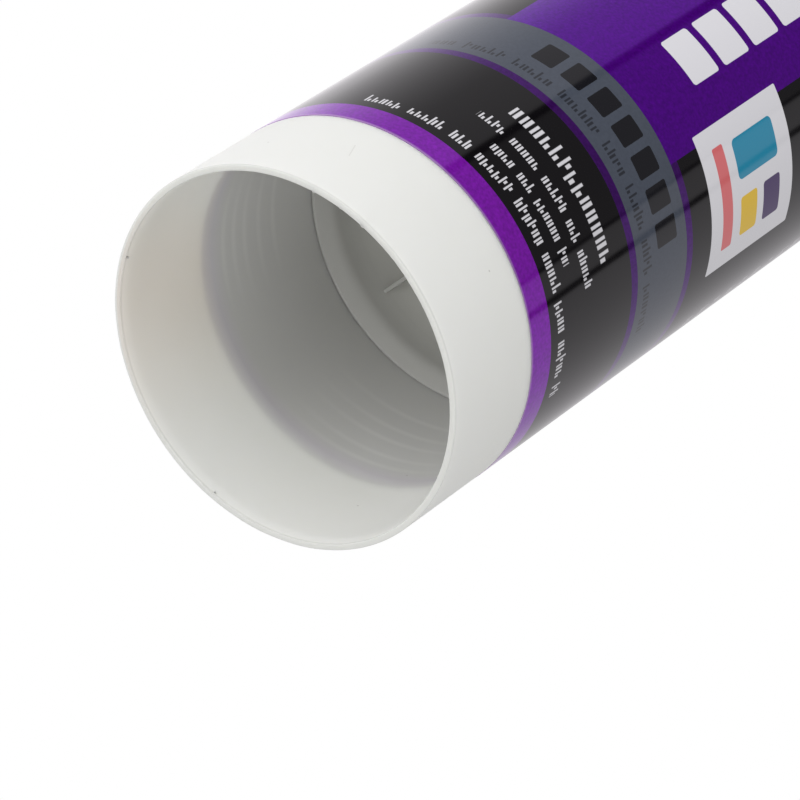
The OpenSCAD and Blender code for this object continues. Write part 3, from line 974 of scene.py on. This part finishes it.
def lamp(name, watts, size, azimuth, elevation):
    """A square area lamp that looks at the lower half of the tube. Azimuth counts from -Y towards +X."""
    a, e = math.radians(azimuth), math.radians(elevation)
    way = Vector((math.sin(a) * math.cos(e), -math.cos(a) * math.cos(e), math.sin(e)))
    light = bpy.data.lights.new(name, "AREA")
    light.energy, light.size = watts, size
    made = bpy.data.objects.new(name, light)
    bpy.context.scene.collection.objects.link(made)
    made.location = LAMP_AIM + way * LAMP_DISTANCE
    made.rotation_mode = "QUATERNION"
    made.rotation_quaternion = (-way).to_track_quat("-Z", "Y")
    made.visible_glossy = False


class CARTRIDGE_OT_stage(bpy.types.Operator):
    """Pale floor, reflecting wall, soft lamps, white world and the camera"""
    bl_idname = "cartridge.stage"
    bl_label = "Stage"

    def execute(self, context):
        scene = context.scene
        s = scene.cartridge_stage
        self.floor(s)
        self.wall()
        lamp("low left lamp", s.low_left, 1.2, -80, -55)
        lamp("low front lamp", s.low_front, 1.2, -20, -60)
        lamp("low right lamp", s.low_right, 1.2, 50, -50)
        lamp("front lamp", s.front, 1.0, -30, -25)
        lamp("top lamp", s.top, 1.0, -50, 60)
        self.world(scene, s)
        self.camera(scene, s)
        scene.view_settings.view_transform = "Standard"
        return {"FINISHED"}

    def floor(self, s):
        """A disc that fades into the white background and can't be seen from below.

        Only the camera sees it, so that the light from below reaches the tube in full.
        """
        p = Paint("pale floor")
        fade_from, fade_margin, drop, columns = 0.25, 0.05, 0.0002, 96
        fade = 1.0 - p.clamp((axis_distance(p) - fade_from) / (s.floor_radius - fade_from - fade_margin))
        back = Num(p, p.node("ShaderNodeNewGeometry").outputs["Backfacing"])
        pale = {"Base Color": (0.93, 0.93, 0.93, 1.0), "Roughness": 0.9}
        solid = p.node("ShaderNodeBsdfPrincipled", (), pale)
        clear = p.node("ShaderNodeBsdfTransparent")
        amount = fade * fade * (1.0 - back)
        inputs = {"Fac": amount, "Shader": clear.outputs[0], "Shader_001": solid.outputs[0]}
        mixed = p.node("ShaderNodeMixShader", (), inputs)
        p.node("ShaderNodeOutputMaterial", (), {"Surface": mixed.outputs[0]})
        a = np.arange(columns) * 2 * np.pi / columns
        ring = s.floor_radius * np.cos(a), s.floor_radius * np.sin(a)
        points = np.stack([*ring, np.full(columns, -drop)], -1)
        made = sheet("floor", points, np.arange(columns)[None], p.material)
        made.visible_shadow = made.visible_glossy = made.visible_diffuse = False

    def wall(self):
        """A tall ring that only reflections see: its brightness follows the angle round it."""
        p = Paint("reflecting wall")
        azimuth = front_angle(p)
        left = p.clamp((-azimuth - 75.0) / 65.0) ** 1.2
        right = p.clamp((azimuth - 62.0) / 90.0)
        # A dim middle, a bright left, a strip and a bright right, with dark gaps between them
        glow = 0.15 * p.band(azimuth, -34.5, 38.0, 1.0)
        glow = glow + (1.0 - p.step(azimuth, -40.0, 1.5)) * (0.40 + 0.70 * left)
        glow = glow + 0.45 * p.band(azimuth, 40.5, 56.5, 1.0)
        glow = glow + p.step(azimuth, 60.5, 1.0) * (0.54 + 0.10 * right)
        tone = p.node("ShaderNodeCombineXYZ", (), {"X": glow, "Y": glow * 0.97, "Z": glow}).outputs[0]
        p.finish((0.0, 0.0, 0.0), 1.0, Emission_Color=tone, Emission_Strength=1.0)
        p.material.cycles.emission_sampling = "NONE"
        radius, bottom, top, columns = 1.5, -2.0, 3.0, 360
        near = np.arange(columns)
        a = near * 2 * np.pi / columns
        ring = np.stack([radius * np.cos(a), radius * np.sin(a)], -1)
        points = np.concatenate([np.column_stack([ring, np.full(columns, z)]) for z in (bottom, top)])
        faces = np.stack([near, near + columns, np.roll(near, -1) + columns, np.roll(near, -1)], -1)
        made = sheet("reflecting wall", points, faces, p.material)
        made.visible_camera = made.visible_diffuse = made.visible_shadow = False
        made.visible_transmission = False

    def world(self, scene, s):
        """White behind the object, and a plain even light on it."""
        world = bpy.data.worlds.new("studio")
        scene.world = world
        world.use_nodes = True
        sky = Nodes(world.node_tree)
        rays = sky.node("ShaderNodeLightPath").outputs
        seen = sky.math("MAXIMUM", rays["Is Camera Ray"], rays["Is Glossy Ray"])
        seen = sky.math("MAXIMUM", seen, rays["Is Transmission Ray"])
        strength = s.ambient + (1.0 - s.ambient) * seen
        white = {"Color": (1.0, 1.0, 1.0, 1.0), "Strength": strength}
        back = sky.node("ShaderNodeBackground", (), white)
        sky.node("ShaderNodeOutputWorld", (), {"Surface": back.outputs[0]})

    def camera(self, scene, s):
        """The photograph's viewing angle: from below the open mouth, close to the tube."""
        data = bpy.data.cameras.new("camera")
        data.sensor_width, data.lens = 36.0, s.lens
        data.clip_start, data.clip_end = 0.02, 20.0
        made = bpy.data.objects.new("camera", data)
        scene.collection.objects.link(made)
        right, up, forward = (Vector(axis) for axis in CAMERA_AXES)
        turn = Matrix((right, up, -forward)).transposed()
        made.matrix_world = Matrix.Translation(CAMERA_PLACE) @ turn.to_4x4()
        scene.camera = made


class CARTRIDGE_PT_panel(bpy.types.Panel):
    """Lists the cartridge's pieces and their settings"""
    bl_idname = "CARTRIDGE_PT_panel"
    bl_label = "Adhesive cartridge"
    bl_space_type = "VIEW_3D"
    bl_region_type = "UI"
    bl_category = "Cartridge"

    def draw(self, context):
        for made in OPERATORS:
            self.layout.operator(made.bl_idname)
        for name, group in GROUPS.items():
            box = self.layout.box()
            box.label(text=group.__doc__)
            for key in group.__annotations__:
                box.prop(getattr(context.scene, name), key)


GROUPS = {
    "cartridge_tube": TubeSizes,
    "cartridge_label": LabelSizes,
    "cartridge_piston": PistonSizes,
    "cartridge_nozzle": NozzleSizes,
    "cartridge_colours": Colours,
    "cartridge_stage": StageSettings,
}
OPERATORS = (CARTRIDGE_OT_tube, CARTRIDGE_OT_label, CARTRIDGE_OT_piston,
             CARTRIDGE_OT_paste, CARTRIDGE_OT_nozzle, CARTRIDGE_OT_stage)


def register():
    for made in (*GROUPS.values(), *OPERATORS, CARTRIDGE_PT_panel):
        bpy.utils.register_class(made)
    for name, group in GROUPS.items():
        setattr(bpy.types.Scene, name, PointerProperty(type=group))


def unregister():
    for name in GROUPS:
        delattr(bpy.types.Scene, name)
    for made in reversed((*GROUPS.values(), *OPERATORS, CARTRIDGE_PT_panel)):
        bpy.utils.unregister_class(made)


def main():
    """Registers the classes, and builds the pieces and the stage."""
    register()
    bpy.ops.cartridge.tube()
    bpy.ops.cartridge.label()
    bpy.ops.cartridge.piston()
    bpy.ops.cartridge.paste()
    bpy.ops.cartridge.nozzle()
    bpy.ops.cartridge.stage()


if __name__ == "__main__":
    main()
